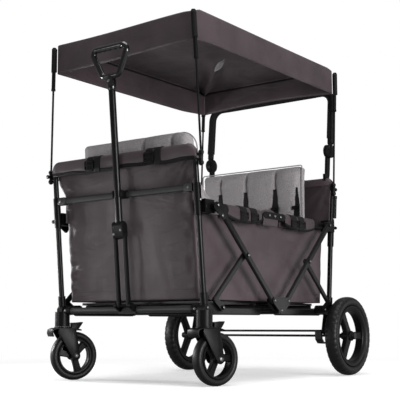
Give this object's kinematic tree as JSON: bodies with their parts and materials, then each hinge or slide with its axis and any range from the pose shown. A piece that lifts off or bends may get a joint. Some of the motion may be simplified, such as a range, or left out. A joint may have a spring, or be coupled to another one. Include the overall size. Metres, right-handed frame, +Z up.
{
  "type": "folding wagon",
  "caption": "Folding wagon with a deep fabric tub, facing padded seats, a flat canopy on poles, swivel front casters, large rear wheels, a pull handle and a push handle.",
  "frame": {"origin": "on the ground, under the middle of the wagon's overall size", "axes": "+Z up, -Y towards the casters and the pull handle, +Y towards the large wheels and the push handle, +X to the right for someone who looks along +Y"},
  "size_m": [0.765, 1.0227, 1.1245],
  "materials": {
    "frame_tube": "satin black powder coat",
    "crossbar": "satin dark grey-green paint",
    "moulding": "fine-grained black",
    "grip": "glossy black",
    "foam": "matt black foam sleeve",
    "tyre": "dark grey with a shallow tread",
    "steel": "dark zinc",
    "cloth": "taupe grey woven polyester",
    "padding": "heather grey quilted"
  },
  "bodies": {
    "front_frame": {"front_hoop": "frame_tube", "front_bottom_crossbar": "frame_tube", "front_corner_bracket_L": "moulding", "front_corner_bracket_R": "moulding", "front_canopy_pole_L": "moulding", "front_canopy_pole_R": "moulding", "front_wall": "cloth", "front_seat": "padding", "side_wall_L": "cloth", "side_wall_R": "cloth", "canopy_cover": "cloth"},
    "short_links_front": {"front_short_link_L": "frame_tube", "front_short_link_R": "frame_tube"},
    "long_links_front": {"front_long_link_L": "frame_tube", "front_long_link_R": "frame_tube"},
    "slider_front": {"front_slider_L": "moulding", "front_slider_R": "moulding", "front_slider_crossbar": "crossbar"},
    "centre_frame": {"centre_frame": "frame_tube"},
    "long_links_rear": {"rear_long_link_L": "frame_tube", "rear_long_link_R": "frame_tube"},
    "short_links_rear": {"rear_short_link_L": "frame_tube", "rear_short_link_R": "frame_tube"},
    "rear_frame": {"rear_hoop": "frame_tube", "rear_bottom_crossbar": "frame_tube", "rear_corner_bracket_L": "moulding", "rear_corner_bracket_R": "moulding", "rear_canopy_pole_L": "moulding", "rear_canopy_pole_R": "moulding", "rear_wall": "cloth", "rear_seat": "padding", "rear_axle": "steel", "push_hub_L": "moulding", "push_hub_R": "moulding"},
    "slider_rear": {"rear_slider_L": "moulding", "rear_slider_R": "moulding", "rear_slider_crossbar": "crossbar"},
    "top_rails_front": {"front_top_rail_L": "frame_tube", "front_top_rail_R": "frame_tube", "top_hinge_L": "moulding", "top_hinge_R": "moulding"},
    "top_rails_rear": {"rear_top_rail_L": "frame_tube", "rear_top_rail_R": "frame_tube"},
    "floor_front": {"front_floor": "frame_tube"},
    "floor_rear": {"rear_floor": "frame_tube"},
    "caster_L": {"caster_fork_L": "moulding"},
    "caster_R": {"caster_fork_R": "moulding"},
    "caster_wheel_L": {"caster_rim_L": "moulding", "caster_tyre_L": "tyre"},
    "caster_wheel_R": {"caster_rim_R": "moulding", "caster_tyre_R": "tyre"},
    "rear_wheel_L": {"rear_rim_L": "moulding", "rear_tyre_L": "tyre"},
    "rear_wheel_R": {"rear_rim_R": "moulding", "rear_tyre_R": "tyre"},
    "pull_handle": {"pull_handle_yoke": "moulding", "pull_handle_tube": "frame_tube"},
    "pull_grip": {"pull_handle_grip": "grip"},
    "push_handle": {"push_handle": "foam"},
    "brake_bar": {"brake_bar": "steel"}
  },
  "joints": [
    {"name": "fold", "type": "hinge", "parent": "front_frame", "child": "short_links_front", "pos_m": [0, -0.3317, 0.229], "axis": [1, 0, 0], "range_deg": [0, 26], "deforming": ["side_wall_L", "side_wall_R", "canopy_cover", "front_seat", "rear_seat"]},
    {"name": "long_links_front_pivot", "type": "hinge", "parent": "short_links_front", "child": "long_links_front", "pos_m": [0, -0.21243, 0.39111], "axis": [1, 0, 0], "range_deg": [-52.01, 0]},
    {"name": "slider_front_pin", "type": "hinge", "parent": "long_links_front", "child": "slider_front", "pos_m": [0, -0.35996, 0.528], "axis": [1, 0, 0], "range_deg": [0, 26.01]},
    {"name": "centre_frame_pin_front", "type": "hinge", "parent": "long_links_front", "child": "centre_frame", "pos_m": [0, -0.06489, 0.25422], "axis": [1, 0, 0], "range_deg": [0, 26.01]},
    {"name": "centre_frame_pin_rear", "type": "hinge", "parent": "centre_frame", "child": "long_links_rear", "pos_m": [0, 0.01949, 0.25422], "axis": [1, 0, 0], "range_deg": [0, 26.01]},
    {"name": "short_links_rear_pivot", "type": "hinge", "parent": "long_links_rear", "child": "short_links_rear", "pos_m": [0, 0.16703, 0.39111], "axis": [1, 0, 0], "range_deg": [-52.01, 0]},
    {"name": "rear_frame_pin", "type": "hinge", "parent": "short_links_rear", "child": "rear_frame", "pos_m": [0, 0.2863, 0.229], "axis": [1, 0, 0], "range_deg": [0, 26.01]},
    {"name": "slider_rear_pin", "type": "hinge", "parent": "long_links_rear", "child": "slider_rear", "pos_m": [0, 0.31456, 0.528], "axis": [1, 0, 0], "range_deg": [-26.01, 0]},
    {"name": "top_rails_front_pin", "type": "hinge", "parent": "slider_front", "child": "top_rails_front", "pos_m": [0, -0.35996, 0.528], "axis": [1, 0, 0], "range_deg": [-56.25, 0]},
    {"name": "top_rails_rear_pin", "type": "hinge", "parent": "slider_rear", "child": "top_rails_rear", "pos_m": [0, 0.31456, 0.528], "axis": [1, 0, 0], "range_deg": [0, 56.25]},
    {"name": "floor_front_pin", "type": "hinge", "parent": "front_frame", "child": "floor_front", "pos_m": [0, -0.3577, 0.22], "axis": [1, 0, 0], "range_deg": [0, 58.12]},
    {"name": "floor_rear_pin", "type": "hinge", "parent": "rear_frame", "child": "floor_rear", "pos_m": [0, 0.3123, 0.22], "axis": [1, 0, 0], "range_deg": [-58.12, 0]},
    {"name": "caster_swivel_L", "type": "hinge", "parent": "front_frame", "child": "caster_L", "pos_m": [-0.29, -0.3997, 0.1735], "axis": [0, 0, 1], "continuous": true},
    {"name": "caster_spin_L", "type": "hinge", "parent": "caster_L", "child": "caster_wheel_L", "pos_m": [-0.27332, -0.36224, 0.0787], "axis": [0.9135, -0.4067, 0], "continuous": true},
    {"name": "rear_wheel_spin_L", "type": "hinge", "parent": "rear_frame", "child": "rear_wheel_L", "pos_m": [-0.353, 0.3745, 0.1371], "axis": [1, 0, 0], "continuous": true},
    {"name": "caster_swivel_R", "type": "hinge", "parent": "front_frame", "child": "caster_R", "pos_m": [0.29, -0.3997, 0.1735], "axis": [0, 0, 1], "continuous": true},
    {"name": "caster_spin_R", "type": "hinge", "parent": "caster_R", "child": "caster_wheel_R", "pos_m": [0.30061, -0.3601, 0.0787], "axis": [0.9659, -0.2588, 0], "continuous": true},
    {"name": "rear_wheel_spin_R", "type": "hinge", "parent": "rear_frame", "child": "rear_wheel_R", "pos_m": [0.353, 0.3745, 0.1371], "axis": [1, 0, 0], "continuous": true},
    {"name": "pull_handle_tilt", "type": "hinge", "parent": "front_frame", "child": "pull_handle", "pos_m": [0, -0.42543, 0.238], "axis": [1, 0, 0], "range_deg": [0, 90]},
    {"name": "pull_grip_slide", "type": "slide", "parent": "pull_handle", "child": "pull_grip", "axis": [0, -0.0941, 0.9956], "range_m": [0, 0.2]},
    {"name": "push_handle_tilt", "type": "hinge", "parent": "rear_frame", "child": "push_handle", "pos_m": [0, 0.41826, 0.817], "axis": [-1, 0, 0], "range_deg": [0, 100]},
    {"name": "brake_pedal", "type": "hinge", "parent": "rear_frame", "child": "brake_bar", "pos_m": [0, 0.3293, 0.155], "axis": [-1, 0, 0], "range_deg": [0, 15]}
  ],
  "couplings": [
    {"joint": "long_links_front_pivot", "follows": "fold", "ratio": -2},
    {"joint": "slider_front_pin", "follows": "fold", "ratio": 1},
    {"joint": "centre_frame_pin_front", "follows": "fold", "ratio": 1},
    {"joint": "centre_frame_pin_rear", "follows": "fold", "ratio": 1},
    {"joint": "short_links_rear_pivot", "follows": "fold", "ratio": -2},
    {"joint": "rear_frame_pin", "follows": "fold", "ratio": 1},
    {"joint": "slider_rear_pin", "follows": "fold", "ratio": -1},
    {"joint": "top_rails_front_pin", "follows": "fold", "ratio": -2.163},
    {"joint": "top_rails_rear_pin", "follows": "fold", "ratio": 2.163},
    {"joint": "floor_front_pin", "follows": "fold", "ratio": 2.235},
    {"joint": "floor_rear_pin", "follows": "fold", "ratio": -2.235}
  ]
}
